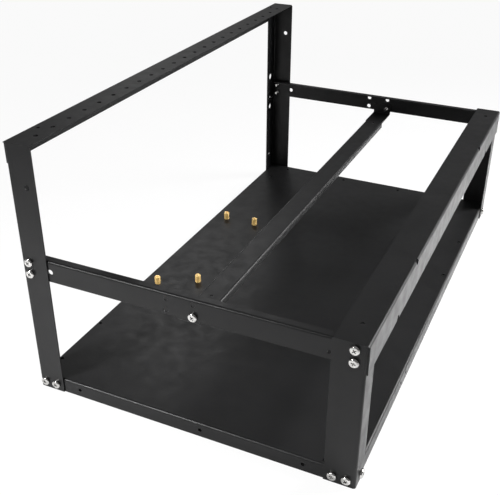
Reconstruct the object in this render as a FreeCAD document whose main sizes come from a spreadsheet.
import FreeCAD, Part
import math
import os
import re
import Sketcher

# Open mining rig frame of folded sheet steel, in millimetres.
# The origin is on the ground under the middle of the frame. Front is -Y, the tall side is -X, up is +Z.

LEFT = -1
RIGHT = 1
FRONT = -1
BACK = 1

# Nearer than this, two points are the same point
SAME_PLACE = 0.001

# Half of a hexagon's side, as a share of its width across flats
HEX_HALF_SIDE = math.tan(math.radians(30)) / 2

# Driving sizes: name, value, meaning
SIZES = (
    ("frame_long", 540, "front face to back face of the posts and rails"),
    ("frame_wide", 310, "outer face of the top rail to outer face of the low rail"),
    ("tall_side", 244, "ground to top of the top rail"),
    ("low_side", 141, "ground to top of the low rail"),
    ("sheet_thick", 1.2, "thickness of all the folded sheets"),
    ("bend_inside", 1.0, "inner radius of every fold"),
    ("corner_gap", 0.6, "space kept between a sheet's end and its neighbour's fold"),
    ("tall_post_wide", 25.5, "front face of a tall post, outer face to free edge"),
    ("low_post_wide", 27.5, "front face of a low post, outer face to free edge"),
    ("post_deep", 21.5, "side face of a post, front to free edge"),
    ("top_rail_wide", 26.0, "top face of the top rail"),
    ("top_rail_drop", 19.5, "outer face of the top rail, top to lower edge"),
    ("low_rail_wide", 28.0, "top face of the low rail"),
    ("low_rail_drop", 27.0, "outer face of the low rail, top to lower edge"),
    ("rail_setback", 1.5, "how far a rail's outer face stops short of its ends"),
    ("tray_high", 14.2, "ground to the upper face of the tray"),
    ("cross_face", 20.0, "face of a cross member, top to lower edge"),
    ("cross_lip", 8.0, "top fold of a cross member"),
    ("beam_wide", 22.0, "width of the support beam"),
    ("beam_lip", 6.5, "side folds of the beam, top to lower edge"),
    ("beam_below", 24.0, "top of the low rail down to the top of the beam"),
    ("beam_across", 5.3, "middle of the frame to the middle of the beam"),
    ("beam_bare", 39.0, "end of the frame to the start of the beam's side folds"),
    ("beam_tab", 11.4, "height of the tab above the top of the beam"),
    ("screw_thread", 4.0, "outer diameter of the screws' shanks"),
    ("screw_long", 8.0, "length of a screw under its head"),
    ("head_wide", 8.2, "diameter of a pan head"),
    ("head_high", 2.6, "height of a pan head"),
    ("head_edge", 1.1, "height of a pan head at its rim"),
    ("crown_in", 0.7, "how far the steep part of the crown comes in from the rim"),
    ("crown_up", 0.9, "how far the steep part of the crown rises"),
    ("shank_chamfer", 0.5, "chamfer at the tip of a shank"),
    ("recess_wide", 0.9, "width of one slot of the cross recess"),
    ("recess_long", 4.2, "length of one slot of the cross recess"),
    ("recess_deep", 1.4, "depth of the cross recess"),
    ("thread_room", 0.1, "what a tapped bore is wider than its screw"),
    ("pass_room", 0.6, "what a clearance hole is wider than its screw"),
    ("cross_screw_inset", 18.0, "post's free edge to the cross member's screws"),
    ("outer_tray_inset", 19.5, "post's free edge to the outer tray screw"),
    ("inner_tray_inset", 7.5, "post's free edge to the inner tray screw"),
    ("side_screw_inset", 12.0, "front or back face to the screw in a post's side"),
    ("pair_below", 10.3, "top of a cross member to the middle of its pairs of holes"),
    ("pair_apart", 11.2, "upper to lower hole of a pair"),
    ("pair_bore", 4.8, "diameter of the holes of a pair"),
    ("free_pair_offset", 18.8, "middle of the beam to the free pair, toward the tall side"),
    ("beam_pair_offset", 5.7, "middle of the beam to the pair that holds it, toward the low side"),
    ("wire_hole_in", 29.0, "outer face of the tall side to the hole near it"),
    ("wire_hole_bore", 5.0, "diameter of that hole"),
    ("small_hole_in", 30.5, "outer face of the low side to the small hole near it"),
    ("small_hole_below", 13.8, "top of a cross member to that small hole"),
    ("small_bore", 3.4, "diameter of the small holes in rails, beam, tray and cross members"),
    ("post_hole_down", 37.5, "top of the top rail to the hole in a tall post's front"),
    ("post_hole_inset", 8.5, "free edge of a tall post to that hole"),
    ("post_hole_bore", 5.0, "diameter of that hole"),
    ("side_hole_in", 12.5, "front or back face to the holes in a tall post's side"),
    ("side_hole_high", 148.0, "ground to the highest hole in a tall post's side"),
    ("side_hole_high_bore", 8.0, "its diameter"),
    ("side_hole_third", 119.0, "ground to the third hole in a tall post's side"),
    ("side_hole_second", 105.6, "ground to the second hole in a tall post's side"),
    ("side_hole_second_bore", 7.0, "its diameter"),
    ("side_hole_low", 34.0, "ground to the lowest hole in a tall post's side"),
    ("side_hole_small_bore", 4.0, "diameter of the third and the lowest hole"),
    ("row_in", 17.0, "outer face of the top rail to its row of holes"),
    ("row_start", 20.2, "front of the top rail to the first hole"),
    ("row_pitch", 22.3, "hole to hole in the row"),
    ("row_end", 25.0, "back of the top rail to the end of the room for the row"),
    ("row_bore", 4.4, "diameter of the holes in the row"),
    ("outer_hole_in", 7.3, "outer face of the top rail to its two outer holes"),
    ("outer_hole_front", 35.5, "front of the top rail to the front outer hole"),
    ("outer_hole_back", 27.5, "back of the top rail to the back outer hole"),
    ("low_hole_in", 13.5, "outer face of the low rail to its two top holes"),
    ("low_hole_end", 25.2, "end of the low rail to its top holes"),
    ("low_hole_bore", 4.4, "diameter of those holes"),
    ("notch_bore", 6.0, "diameter of the notches in the low rail"),
    ("notch_depth", 4.0, "how far a notch reaches into the outer face"),
    ("upper_notch_front", 134.0, "front of the low rail to the front notch in its fold"),
    ("upper_notch_back", 132.0, "back of the low rail to the back notch in its fold"),
    ("lower_notch_end", 81.3, "end of the low rail to a notch in its lower edge"),
    ("left_hole_edge", 4.2, "tall side of the tray to its two edge holes"),
    ("left_hole_first", 26.3, "front of the frame to the first of them"),
    ("left_hole_second", 90.6, "front of the frame to the second of them"),
    ("right_hole_edge", 6.0, "low side of the tray to its two edge holes"),
    ("right_hole_first", 123.3, "back of the frame to the first of them"),
    ("right_hole_second", 206.8, "back of the frame to the second of them"),
    ("back_hole_edge", 12.0, "back of the frame to the row of holes along the tray's back"),
    ("back_hole_left", 31.3, "outer face of the tall side to the left hole of that row"),
    ("back_hole_middle", -38.7, "middle of the frame to the middle hole of that row"),
    ("back_hole_right", 39.2, "middle of the frame to the right hole of that row"),
    ("corner_hole_in", 18.1, "outer face of the tall side to the hole before the back left post"),
    ("corner_hole_back", 44.5, "back of the frame to that hole"),
    ("front_hole_in", 30.0, "outer face of the low side to the hole behind the tray's front fold"),
    ("front_hole_edge", 6.5, "front of the frame to that hole"),
    ("face_hole_left", 44.2, "outer face of the tall side to the left hole in the tray's front face"),
    ("face_hole_middle", 13.2, "middle of the frame to the middle hole in the tray's front face"),
    ("face_hole_right", 46.8, "outer face of the low side to the right hole in the tray's front face"),
    ("flank_hole_first", 136.0, "front of the frame to the first hole in the tray's low side face"),
    ("flank_hole_second", 154.0, "front of the frame to the second hole in the tray's low side face"),
    ("beam_hole_end", 43.7, "end of the frame to the small holes in the beam"),
    ("outer_standoff_in", 20.0, "outer face of the tall side to the outer line of standoffs"),
    ("inner_standoff_in", 58.7, "outer face of the tall side to the inner line of standoffs"),
    ("outer_standoff_front", 181.6, "front of the frame to the front outer standoff"),
    ("inner_standoff_front", 203.3, "front of the frame to the front inner standoff"),
    ("standoff_back", 187.2, "back of the frame to both back standoffs"),
    ("standoff_flats", 5.5, "width of a standoff across its flats"),
    ("standoff_high", 8.5, "height of a standoff above the tray"),
    ("standoff_thread", 3.0, "diameter of a standoff's stud"),
    ("standoff_stud", 4.8, "length of a standoff's stud"),
    ("standoff_bore", 2.6, "diameter of a standoff's threaded hole"),
    ("standoff_bore_deep", 6.0, "depth of a standoff's threaded hole"),
    ("standoff_chamfer", 0.5, "chamfer round the top of a standoff"),
)

SIZE_NAMES = {name for name, amount, meaning in SIZES}

doc = FreeCAD.newDocument("MiningRigFrame")
sheet = doc.addObject("Spreadsheet::Sheet", "Sizes")


def fill_sheet():
    """Each driving size gets a row: its meaning, its value and the name that formulas use."""
    for row, (name, amount, meaning) in enumerate(SIZES, 1):
        sheet.set("A%d" % row, meaning)
        sheet.set("B%d" % row, str(amount))
        sheet.setAlias("B%d" % row, name)
    doc.recompute()


def reference(found):
    """A size's name becomes a reference to its cell, and any other word stays."""
    word = found.group()
    return "Sizes." + word if word in SIZE_NAMES else word


def formula(text):
    """The text with every size name turned into a reference to its cell."""
    return re.sub(r"[a-z_]+", reference, text)


def amount_of(text):
    """The number that a formula gives now."""
    return float(sheet.evalExpression(formula(text)))


def point_of(*texts):
    """The point whose coordinates the formulas give now."""
    return FreeCAD.Vector(*[amount_of(text) for text in texts])


def negative(text):
    return "-(%s)" % text


def toward(sign, text):
    """The formula, on the given side of zero."""
    return text if sign > 0 else negative(text)


BEND_OUTSIDE = "(bend_inside + sheet_thick)"
HALF_LONG = "frame_long / 2"
HALF_WIDE = "frame_wide / 2"
TAPPED_BORE = "(screw_thread + thread_room)"
PASS_BORE = "(screw_thread + pass_room)"
# Places across the frame that are given from its outer faces, and along it from its front and back
FROM_TALL_SIDE = "(%s - frame_wide / 2)"
FROM_LOW_SIDE = "(frame_wide / 2 - %s)"
FROM_FRONT = "(%s - frame_long / 2)"
FROM_BACK = "(frame_long / 2 - %s)"
# The ends of the cross members and the tray's corners stay clear of the posts' inner folds
FOLD_CLEAR = "(bend_inside + corner_gap)"
TRAY_HALF_WIDE = "(frame_wide / 2 - 2 * sheet_thick)"
TRAY_HALF_LONG = "(frame_long / 2 - sheet_thick)"
TRAY_SCREW_UP = "tray_high / 2"
CROSS_TOP = "(low_side - sheet_thick)"
UPPER_PAIR_UP = "(%s - pair_below + pair_apart / 2)" % CROSS_TOP
LOWER_PAIR_UP = "(%s - pair_below - pair_apart / 2)" % CROSS_TOP
BEAM_PAIR_ACROSS = "(beam_across + beam_pair_offset)"
FREE_PAIR_ACROSS = "(beam_across - free_pair_offset)"


def new_body(name, across="0", along="0", up="0"):
    """A piece whose own origin stands at the given place in the frame."""
    body = doc.addObject("PartDesign::Body", name)
    body.Label = name
    body.setExpression("Placement.Base.x", formula(across))
    body.setExpression("Placement.Base.y", formula(along))
    body.setExpression("Placement.Base.z", formula(up))
    return body


def new_sketch(body, name, plane):
    """A sketch on one of the piece's own planes: XY, XZ or YZ."""
    sketch = body.newObject("Sketcher::SketchObject", body.Name + "_" + name)
    support = [item for item in body.Origin.OriginFeatures if item.Role == plane + "_Plane"][0]
    sketch.AttachmentSupport = [(support, "")]
    sketch.MapMode = "FlatFace"
    return sketch


def tie(sketch, kind, references, text):
    """A dimension of the sketch that follows a formula."""
    number = sketch.addConstraint(Sketcher.Constraint(kind, *references, amount_of(text)))
    sketch.setExpression("Constraints[%d]" % number, formula(text))


def draw_outline(sketch, corners):
    """A closed outline of straight lines through corners that are pairs of formulas."""
    points = [point_of(across, up, "0") for across, up in corners]
    first = sketch.GeometryCount
    count = len(points)
    for number in range(count):
        sketch.addGeometry(Part.LineSegment(points[number], points[(number + 1) % count]))
    for number in range(count):
        following = first + (number + 1) % count
        sketch.addConstraint(Sketcher.Constraint("Coincident", first + number, 2, following, 1))
    for number, (across, up) in enumerate(corners):
        tie(sketch, "DistanceX", (-1, 1, first + number, 1), across)
        tie(sketch, "DistanceY", (-1, 1, first + number, 1), up)


def draw_circle(sketch, across, up, bore):
    """A circle at a place and of a diameter that formulas give."""
    centre = point_of(across, up, "0")
    number = sketch.addGeometry(Part.Circle(centre, FreeCAD.Vector(0, 0, 1), amount_of(bore) / 2))
    tie(sketch, "DistanceX", (-1, 1, number, 3), across)
    tie(sketch, "DistanceY", (-1, 1, number, 3), up)
    tie(sketch, "Diameter", (number,), bore)


def pad(body, sketch, length, both_ways=False, turned=False):
    """Material along the sketch's normal, or as much to each side of the sketch."""
    feature = body.newObject("PartDesign::Pad", sketch.Name + "_pad")
    feature.Profile = sketch
    feature.setExpression("Length", formula(length))
    feature.SideType = "Symmetric" if both_ways else "One side"
    feature.Reversed = turned
    doc.recompute()
    return feature


def cut(body, sketch, length=None, both_ways=False, turned=False):
    """A cut against the sketch's normal: of a given length, or through all that is there."""
    before = body.Tip.Shape.Volume
    feature = body.newObject("PartDesign::Pocket", sketch.Name + "_cut")
    feature.Profile = sketch
    feature.SideType = "Symmetric" if both_ways else "One side"
    feature.Reversed = turned
    if length is None:
        feature.Type = "ThroughAll"
    else:
        feature.setExpression("Length", formula(length))
    doc.recompute()
    if feature.Shape.Volume > before - SAME_PLACE:
        raise RuntimeError(feature.Name + " cuts nothing")
    return feature


def edge_through(shape, place):
    """The name of the edge that passes through a place."""
    probe = Part.Vertex(place)
    for number, edge in enumerate(shape.Edges, 1):
        if edge.distToShape(probe)[0] < SAME_PLACE:
            return "Edge%d" % number
    raise RuntimeError("no edge at %s" % place)


def fold(body, name, radius, places):
    """The radius of one or more folds, along the edges that pass through the places."""
    base = body.Tip
    feature = body.newObject("PartDesign::Fillet", body.Name + "_" + name)
    feature.Base = (base, [edge_through(base.Shape, place) for place in places])
    feature.setExpression("Radius", formula(radius))
    doc.recompute()
    return feature


def angle_outline(sketch, inward, wide, onward, deep):
    """The section of a sheet folded once: an L with its outer corner on the sketch's origin."""
    across = toward(inward, wide)
    across_thick = toward(inward, "sheet_thick")
    up = toward(onward, deep)
    up_thick = toward(onward, "sheet_thick")
    draw_outline(sketch, [("0", "0"), (across, "0"), (across, up_thick), (across_thick, up_thick),
                          (across_thick, up), ("0", up)])


def corner_post(name, side, end, wide, high):
    """An upright angle: one face to the front or back, one to the side, under the end of a rail."""
    body = new_body(name, toward(side, HALF_WIDE + " - sheet_thick"), toward(end, HALF_LONG))
    top = high + " - sheet_thick"
    section = new_sketch(body, "section", "XY")
    angle_outline(section, -side, wide, -end, "post_deep")
    pad(body, section, top)
    middle = "(%s) / 2" % top
    outer = point_of("0", "0", middle)
    inner = point_of(toward(-side, "sheet_thick"), toward(-end, "sheet_thick"), middle)
    fold(body, "inner_fold", "bend_inside", [inner])
    fold(body, "outer_fold", BEND_OUTSIDE, [outer])
    seat_under_rail(body, side, top)
    drill_post_face(body, side, wide)
    drill_post_side(body, end)
    return body


def seat_under_rail(body, side, top):
    """The post's top outer edge is cut back where the rail's inner fold passes it."""
    sketch = new_sketch(body, "seat", "XZ")
    across = toward(-side, "bend_inside")
    lower = top + " - bend_inside"
    draw_outline(sketch, [("0", lower), (across, lower), (across, top), ("0", top)])
    cut(body, sketch, both_ways=True)


def drill_post_face(body, side, wide):
    """Clearance holes in a post's front or back face, for the cross member's and tray's screws."""
    sketch = new_sketch(body, "face_holes", "XZ")
    for inset, up in face_screw_places():
        draw_circle(sketch, toward(-side, wide + " - " + inset), up, PASS_BORE)
    cut(body, sketch, both_ways=True)


def face_screw_places():
    """Inset from the post's free edge and height of the four screws in a post's face."""
    return cross_screw_places() + tray_screw_places()


def cross_screw_places():
    return [("cross_screw_inset", UPPER_PAIR_UP), ("cross_screw_inset", LOWER_PAIR_UP)]


def tray_screw_places():
    return [("outer_tray_inset", TRAY_SCREW_UP), ("inner_tray_inset", TRAY_SCREW_UP)]


def drill_post_side(body, end):
    """The clearance hole in a post's side face, for the screw into the tray."""
    sketch = new_sketch(body, "side_hole", "YZ")
    draw_circle(sketch, toward(-end, "side_screw_inset"), TRAY_SCREW_UP, PASS_BORE)
    cut(body, sketch, both_ways=True)


def tall_post(name, end):
    """A post of the tall side, with a hole in its face and four in its side."""
    body = corner_post(name, LEFT, end, "tall_post_wide", "tall_side")
    face = new_sketch(body, "wire_hole", "XZ")
    draw_circle(face, "tall_post_wide - post_hole_inset", "tall_side - post_hole_down", "post_hole_bore")
    cut(body, face, both_ways=True)
    flank = new_sketch(body, "side_holes", "YZ")
    along = toward(-end, "side_hole_in")
    draw_circle(flank, along, "side_hole_high", "side_hole_high_bore")
    draw_circle(flank, along, "side_hole_third", "side_hole_small_bore")
    draw_circle(flank, along, "side_hole_second", "side_hole_second_bore")
    draw_circle(flank, along, "side_hole_low", "side_hole_small_bore")
    cut(body, flank, both_ways=True)
    return body


def low_post(name, end):
    """A post of the low side."""
    return corner_post(name, RIGHT, end, "low_post_wide", "low_side")


def rail(name, side, wide, drop, high):
    """An angle over two posts: a top plate the length of the frame and an outer face outside the posts."""
    body = new_body(name, toward(side, HALF_WIDE), "0", high)
    section = new_sketch(body, "section", "XZ")
    angle_outline(section, -side, wide, -1, drop)
    pad(body, section, "frame_long", both_ways=True)
    inner = point_of(toward(-side, "sheet_thick"), "0", "-sheet_thick")
    fold(body, "inner_fold", "bend_inside", [inner])
    fold(body, "outer_fold", BEND_OUTSIDE, [FreeCAD.Vector(0, 0, 0)])
    ends = new_sketch(body, "ends", "YZ")
    lower = negative(drop)
    for end in (FRONT, BACK):
        tip = toward(end, HALF_LONG)
        start = toward(end, HALF_LONG + " - rail_setback")
        draw_outline(ends, [(start, lower), (tip, lower), (tip, "-sheet_thick"), (start, "-sheet_thick")])
    cut(body, ends, both_ways=True)
    return body


def top_rail():
    """The rail of the tall side, with its long row of holes."""
    body = rail("top_rail", LEFT, "top_rail_wide", "top_rail_drop", "tall_side")
    outer = new_sketch(body, "outer_holes", "XY")
    draw_circle(outer, "outer_hole_in", FROM_FRONT % "outer_hole_front", "small_bore")
    draw_circle(outer, "outer_hole_in", FROM_BACK % "outer_hole_back", "small_bore")
    cut(body, outer)
    first = new_sketch(body, "row", "XY")
    draw_circle(first, "row_in", FROM_FRONT % "row_start", "row_bore")
    hole = cut(body, first)
    row = body.newObject("PartDesign::LinearPattern", "top_rail_row_pattern")
    row.Originals = [hole]
    row.Direction = (first, ["V_Axis"])
    row.Mode = "Spacing"
    row.setExpression("Offset", formula("row_pitch"))
    row.setExpression("Occurrences", formula("floor((frame_long - row_start - row_end) / row_pitch) + 1"))
    body.Tip = row
    doc.recompute()
    return body


def low_rail():
    """The rail of the low side, with notches in its fold and in its lower edge."""
    body = rail("low_rail", RIGHT, "low_rail_wide", "low_rail_drop", "low_side")
    holes = new_sketch(body, "top_holes", "XY")
    for end in (FRONT, BACK):
        draw_circle(holes, "-low_hole_in", toward(end, HALF_LONG + " - low_hole_end"), "low_hole_bore")
    cut(body, holes)
    notches = new_sketch(body, "notches", "YZ")
    upper = "notch_bore / 2 - notch_depth"
    lower = "notch_depth - notch_bore / 2 - low_rail_drop"
    draw_circle(notches, FROM_FRONT % "upper_notch_front", upper, "notch_bore")
    draw_circle(notches, FROM_BACK % "upper_notch_back", upper, "notch_bore")
    draw_circle(notches, FROM_FRONT % "lower_notch_end", lower, "notch_bore")
    draw_circle(notches, FROM_BACK % "lower_notch_end", lower, "notch_bore")
    cut(body, notches, BEND_OUTSIDE)
    return body


def cross_member(name, end):
    """An angle between the two posts of one end: a face behind theirs and a lip folded inward on top."""
    body = new_body(name, "0", toward(end, HALF_LONG + " - sheet_thick"), CROSS_TOP)
    section = new_sketch(body, "section", "YZ")
    angle_outline(section, -end, "cross_lip", -1, "cross_face")
    pad(body, section, "2 * (%s - %s)" % (TRAY_HALF_WIDE, FOLD_CLEAR), both_ways=True)
    inner = point_of("0", toward(-end, "sheet_thick"), "-sheet_thick")
    fold(body, "inner_fold", "bend_inside", [inner])
    fold(body, "outer_fold", BEND_OUTSIDE, [FreeCAD.Vector(0, 0, 0)])
    holes = new_sketch(body, "holes", "XZ")
    upper = UPPER_PAIR_UP + " - " + CROSS_TOP
    lower = LOWER_PAIR_UP + " - " + CROSS_TOP
    for up in (upper, lower):
        draw_circle(holes, FREE_PAIR_ACROSS, up, "pair_bore")
        draw_circle(holes, BEAM_PAIR_ACROSS, up, "pair_bore")
        for side, wide in ((LEFT, "tall_post_wide"), (RIGHT, "low_post_wide")):
            draw_circle(holes, post_face_across(side, wide, "cross_screw_inset"), up, TAPPED_BORE)
    draw_circle(holes, FROM_TALL_SIDE % "wire_hole_in", "-pair_below", "wire_hole_bore")
    draw_circle(holes, FROM_LOW_SIDE % "small_hole_in", "-small_hole_below", "small_bore")
    cut(body, holes, both_ways=True)
    return body


def post_face_across(side, wide, inset):
    """Where a hole of a post's face lies across the frame."""
    return toward(side, HALF_WIDE + " - sheet_thick - " + wide + " + " + inset)


def support_beam():
    """A channel open downward, with flat ends and a tab folded up behind each cross member."""
    body = new_body("support_beam", "beam_across", "0", "low_side - beam_below")
    half = "beam_wide / 2"
    web_half = half + " - sheet_thick"
    channel = new_sketch(body, "channel", "XZ")
    draw_outline(channel, [(negative(half), "0"), (half, "0"), (half, "-beam_lip"),
                           (web_half, "-beam_lip"), (web_half, "-sheet_thick"),
                           (negative(web_half), "-sheet_thick"), (negative(web_half), "-beam_lip"),
                           (negative(half), "-beam_lip")])
    pad(body, channel, "frame_long - 2 * beam_bare", both_ways=True)
    inner = [point_of(toward(side, web_half), "0", "-sheet_thick") for side in (LEFT, RIGHT)]
    outer = [point_of(toward(side, half), "0", "0") for side in (LEFT, RIGHT)]
    fold(body, "inner_side_folds", "bend_inside", inner)
    fold(body, "outer_side_folds", BEND_OUTSIDE, outer)
    ends = new_sketch(body, "ends", "YZ")
    start = HALF_LONG + " - beam_bare"
    tip = HALF_LONG + " - 2 * sheet_thick"
    tab_inside = HALF_LONG + " - 3 * sheet_thick"
    for end in (FRONT, BACK):
        draw_outline(ends, [(toward(end, start), "-sheet_thick"), (toward(end, tip), "-sheet_thick"),
                            (toward(end, tip), "beam_tab"), (toward(end, tab_inside), "beam_tab"),
                            (toward(end, tab_inside), "0"), (toward(end, start), "0")])
    pad(body, ends, "beam_wide", both_ways=True)
    fold(body, "inner_tab_folds", "bend_inside",
         [point_of("0", toward(end, tab_inside), "0") for end in (FRONT, BACK)])
    fold(body, "outer_tab_folds", BEND_OUTSIDE,
         [point_of("0", toward(end, tip), "-sheet_thick") for end in (FRONT, BACK)])
    tabs = new_sketch(body, "tab_holes", "XZ")
    draw_circle(tabs, "beam_pair_offset", LOWER_PAIR_UP + " - low_side + beam_below", TAPPED_BORE)
    cut(body, tabs, both_ways=True)
    holes = new_sketch(body, "top_holes", "XY")
    for end in (FRONT, BACK):
        draw_circle(holes, "0", toward(end, HALF_LONG + " - beam_hole_end"), "small_bore")
    cut(body, holes, both_ways=True)
    return body


def rectangle(half_across, half_along):
    """The four corners of a rectangle about the origin."""
    return [(negative(half_across), negative(half_along)), (half_across, negative(half_along)),
            (half_across, half_along), (negative(half_across), half_along)]


def tray_edges(half_across, half_along, up):
    """The middles of the four edges of a rectangle at one height."""
    return [point_of(half_across, "0", up), point_of(negative(half_across), "0", up),
            point_of("0", half_along, up), point_of("0", negative(half_along), up)]


def base_tray():
    """The floor: a sheet with its four edges folded down to the ground and its corners cut away."""
    body = new_body("base_tray")
    inside_wide = "(%s - sheet_thick)" % TRAY_HALF_WIDE
    inside_long = "(%s - sheet_thick)" % TRAY_HALF_LONG
    inside_up = "(tray_high - sheet_thick)"
    block = new_sketch(body, "outside", "XY")
    draw_outline(block, rectangle(TRAY_HALF_WIDE, TRAY_HALF_LONG))
    pad(body, block, "tray_high")
    fold(body, "outer_folds", BEND_OUTSIDE, tray_edges(TRAY_HALF_WIDE, TRAY_HALF_LONG, "tray_high"))
    hollow = new_sketch(body, "inside", "XY")
    draw_outline(hollow, rectangle(inside_wide, inside_long))
    cut(body, hollow, inside_up, turned=True)
    fold(body, "inner_folds", "bend_inside", tray_edges(inside_wide, inside_long, inside_up))
    corners = new_sketch(body, "corners", "XY")
    start_wide = "(%s - sheet_thick - %s)" % (TRAY_HALF_WIDE, FOLD_CLEAR)
    start_long = "(%s - sheet_thick - %s)" % (TRAY_HALF_LONG, FOLD_CLEAR)
    for side in (LEFT, RIGHT):
        for end in (FRONT, BACK):
            near = toward(side, start_wide)
            far = toward(side, TRAY_HALF_WIDE)
            here = toward(end, start_long)
            beyond = toward(end, TRAY_HALF_LONG)
            draw_outline(corners, [(near, here), (far, here), (far, beyond), (near, beyond)])
    cut(body, corners, turned=True)
    drill_tray_floor(body)
    drill_tray_faces(body)
    return body


def drill_tray_floor(body):
    """Holes in the tray's floor: for the standoffs, and the free ones that the frame comes with."""
    sketch = new_sketch(body, "floor_holes", "XY")
    for across, along in standoff_places():
        draw_circle(sketch, across, along, "standoff_thread + thread_room")
    left = "left_hole_edge - " + TRAY_HALF_WIDE
    right = TRAY_HALF_WIDE + " - right_hole_edge"
    draw_circle(sketch, left, FROM_FRONT % "left_hole_first", "small_bore")
    draw_circle(sketch, left, FROM_FRONT % "left_hole_second", "small_bore")
    draw_circle(sketch, right, FROM_BACK % "right_hole_first", "small_bore")
    draw_circle(sketch, right, FROM_BACK % "right_hole_second", "small_bore")
    for across in (FROM_TALL_SIDE % "back_hole_left", "back_hole_middle", "back_hole_right"):
        draw_circle(sketch, across, FROM_BACK % "back_hole_edge", "small_bore")
    draw_circle(sketch, FROM_TALL_SIDE % "corner_hole_in", FROM_BACK % "corner_hole_back", "small_bore")
    draw_circle(sketch, FROM_LOW_SIDE % "front_hole_in", FROM_FRONT % "front_hole_edge", "small_bore")
    cut(body, sketch, turned=True)


def drill_tray_faces(body):
    """Tapped bores for the posts' screws and free holes, in the tray's folded edges."""
    screws = new_sketch(body, "screw_bores", "XZ")
    for side, wide in ((LEFT, "tall_post_wide"), (RIGHT, "low_post_wide")):
        for inset, up in tray_screw_places():
            draw_circle(screws, post_face_across(side, wide, inset), up, TAPPED_BORE)
    cut(body, screws, both_ways=True)
    flanks = new_sketch(body, "side_bores", "YZ")
    for end in (FRONT, BACK):
        draw_circle(flanks, toward(end, HALF_LONG + " - side_screw_inset"), TRAY_SCREW_UP, TAPPED_BORE)
    cut(body, flanks, both_ways=True)
    face = new_sketch(body, "face_holes", "XZ")
    left = FROM_TALL_SIDE % "face_hole_left"
    right = FROM_LOW_SIDE % "face_hole_right"
    for across in (left, "face_hole_middle", right):
        draw_circle(face, across, TRAY_SCREW_UP, "small_bore")
    cut(body, face, turned=True)
    low_side_face = new_sketch(body, "flank_holes", "YZ")
    for along in ("flank_hole_first", "flank_hole_second"):
        draw_circle(low_side_face, FROM_FRONT % along, TRAY_SCREW_UP, "small_bore")
    cut(body, low_side_face, turned=True)


def standoff_places():
    """Across and along the frame, of the four board standoffs."""
    outer = FROM_TALL_SIDE % "outer_standoff_in"
    inner = FROM_TALL_SIDE % "inner_standoff_in"
    back = FROM_BACK % "standoff_back"
    return [(outer, FROM_FRONT % "outer_standoff_front"), (inner, FROM_FRONT % "inner_standoff_front"),
            (outer, back), (inner, back)]


def standoff(name, across, along):
    """A hexagonal spacer with a stud below, in the tray, and a threaded hole on top."""
    body = new_body(name, across, along, "tray_high")
    hexagon = new_sketch(body, "hexagon", "XY")
    flat = "standoff_flats / 2"
    tip = "standoff_flats * %.6f" % (2 * HEX_HALF_SIDE)
    half_tip = "standoff_flats * %.6f" % HEX_HALF_SIDE
    draw_outline(hexagon, [(flat, negative(half_tip)), (flat, half_tip), ("0", tip),
                           (negative(flat), half_tip), (negative(flat), negative(half_tip)),
                           ("0", negative(tip))])
    pad(body, hexagon, "standoff_high")
    stud = new_sketch(body, "stud", "XY")
    draw_circle(stud, "0", "0", "standoff_thread")
    pad(body, stud, "standoff_stud", turned=True)
    corner = new_sketch(body, "chamfer", "XZ")
    level = "standoff_high - standoff_chamfer"
    draw_outline(corner, [(flat, "standoff_high"), (flat + " + standoff_chamfer", level),
                          (flat + " + standoff_chamfer", "standoff_high")])
    groove = body.newObject("PartDesign::Groove", body.Name + "_chamfer_groove")
    groove.Profile = corner
    groove.ReferenceAxis = (corner, ["V_Axis"])
    doc.recompute()
    bore = new_sketch(body, "bore", "XY")
    bore.setExpression("AttachmentOffset.Base.z", formula("standoff_high"))
    draw_circle(bore, "0", "0", "standoff_bore")
    cut(body, bore, "standoff_bore_deep")
    return body


def pan_screw():
    """The one screw that the frame is put together with: head on +Z, shank down -Z."""
    body = doc.addObject("PartDesign::Body", "pan_screw")
    body.Label = "pan_screw"
    profile = new_sketch(body, "profile", "XZ")
    draw_outline(profile, [("0", "-screw_long"), ("screw_thread / 2 - shank_chamfer", "-screw_long"),
                           ("screw_thread / 2", "shank_chamfer - screw_long"),
                           ("screw_thread / 2", "0"), ("head_wide / 2", "0"),
                           ("head_wide / 2", "head_edge"),
                           ("head_wide / 2 - crown_in", "head_edge + crown_up"),
                           ("recess_long / 2", "head_high"), ("0", "head_high")])
    turned = body.newObject("PartDesign::Revolution", "pan_screw_turned")
    turned.Profile = profile
    turned.ReferenceAxis = (profile, ["V_Axis"])
    doc.recompute()
    for number, turn in enumerate((0, 90)):
        slot = new_sketch(body, "slot_%d" % number, "XY")
        slot.setExpression("AttachmentOffset.Base.z", formula("head_high"))
        slot.setExpression("AttachmentOffset.Rotation.Angle", "%d" % turn)
        draw_outline(slot, rectangle("recess_long / 2", "recess_wide / 2"))
        cut(body, slot, "recess_deep")
    return body


# How the screw is turned so that its head looks out of each face of the frame
FACINGS = {
    "front": FreeCAD.Rotation(FreeCAD.Vector(1, 0, 0), 90),
    "back": FreeCAD.Rotation(FreeCAD.Vector(1, 0, 0), -90),
    "left": FreeCAD.Rotation(FreeCAD.Vector(0, 1, 0), -90),
    "right": FreeCAD.Rotation(FreeCAD.Vector(0, 1, 0), 90),
}

# Degrees from one screw's cross recess to the next one's
RECESS_STEP = 35


def screws(name, screw, facing, places):
    """One group of screws: a copy of the screw with its head's seat on each place."""
    copies = []
    for number, place in enumerate(places):
        copy = doc.addObject("App::Link", "%s_%d" % (name, number))
        copy.LinkedObject = screw
        twist = FreeCAD.Rotation(FreeCAD.Vector(0, 0, 1), RECESS_STEP * (number + 1))
        copy.Placement = FreeCAD.Placement(FreeCAD.Vector(), FACINGS[facing].multiply(twist))
        for axis, text in zip("xyz", place):
            copy.setExpression("Placement.Base." + axis, formula(text))
        copies.append(copy)
    group = doc.addObject("Part::Compound", name)
    group.Label = name
    group.Links = copies
    return group


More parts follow.
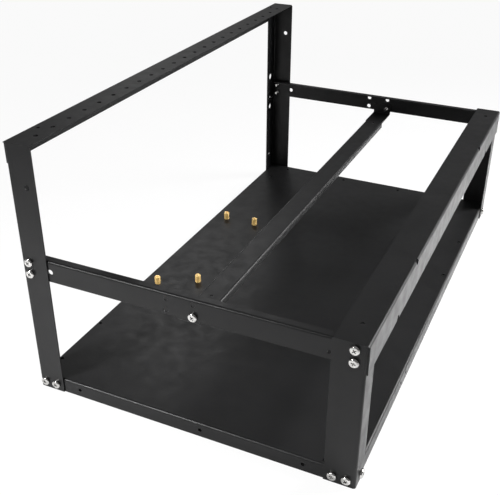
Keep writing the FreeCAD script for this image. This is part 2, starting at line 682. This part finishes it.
def corner_screws(screw, corner, side, end, wide):
    """The screws of one corner: into the cross member, and into the tray's face and side."""
    facing = "front" if end == FRONT else "back"
    face = toward(end, HALF_LONG)
    across = [(post_face_across(side, wide, inset), face, up) for inset, up in cross_screw_places()]
    floor = [(post_face_across(side, wide, inset), face, up) for inset, up in tray_screw_places()]
    flank = [(toward(side, HALF_WIDE + " - sheet_thick"),
              toward(end, HALF_LONG + " - side_screw_inset"), TRAY_SCREW_UP)]
    return [screws(corner + "_cross_screws", screw, facing, across),
            screws(corner + "_tray_screws", screw, facing, floor),
            screws(corner + "_side_screw", screw, "left" if side == LEFT else "right", flank)]


def beam_screw(name, screw, end):
    """The screw through a cross member into the beam's tab."""
    seat = (BEAM_PAIR_ACROSS, toward(end, HALF_LONG + " - sheet_thick"), LOWER_PAIR_UP)
    return screws(name, screw, "front" if end == FRONT else "back", [seat])


def frame_pieces():
    """Every separate piece of the frame."""
    pieces = [
        base_tray(),
        tall_post("front_left_post", FRONT),
        tall_post("back_left_post", BACK),
        low_post("front_right_post", FRONT),
        low_post("back_right_post", BACK),
        top_rail(),
        low_rail(),
        cross_member("front_cross_member", FRONT),
        cross_member("back_cross_member", BACK),
        support_beam(),
    ]
    for number, (across, along) in enumerate(standoff_places(), 1):
        pieces.append(standoff("board_standoff_%d" % number, across, along))
    screw = pan_screw()
    pieces += corner_screws(screw, "front_left", LEFT, FRONT, "tall_post_wide")
    pieces += corner_screws(screw, "back_left", LEFT, BACK, "tall_post_wide")
    pieces += corner_screws(screw, "front_right", RIGHT, FRONT, "low_post_wide")
    pieces += corner_screws(screw, "back_right", RIGHT, BACK, "low_post_wide")
    pieces.append(beam_screw("front_beam_screw", screw, FRONT))
    pieces.append(beam_screw("back_beam_screw", screw, BACK))
    return pieces


def check_document(pieces):
    """Stops if anything failed to build."""
    for item in doc.Objects:
        if "Invalid" in item.State or "Error" in item.State:
            raise RuntimeError("%s failed: %s" % (item.Name, item.State))
    for piece in pieces:
        if piece.Shape.isNull() or not piece.Shape.isValid():
            raise RuntimeError(piece.Label + " has no valid shape")


fill_sheet()
all_pieces = frame_pieces()
doc.recompute()
check_document(all_pieces)
os.makedirs("parts", exist_ok=True)
for piece in all_pieces:
    piece.Shape.exportStep("parts/%s.step" % piece.Label)
    print(piece.Label, len(piece.Shape.Solids), "solid,", round(piece.Shape.Volume), "mm3")
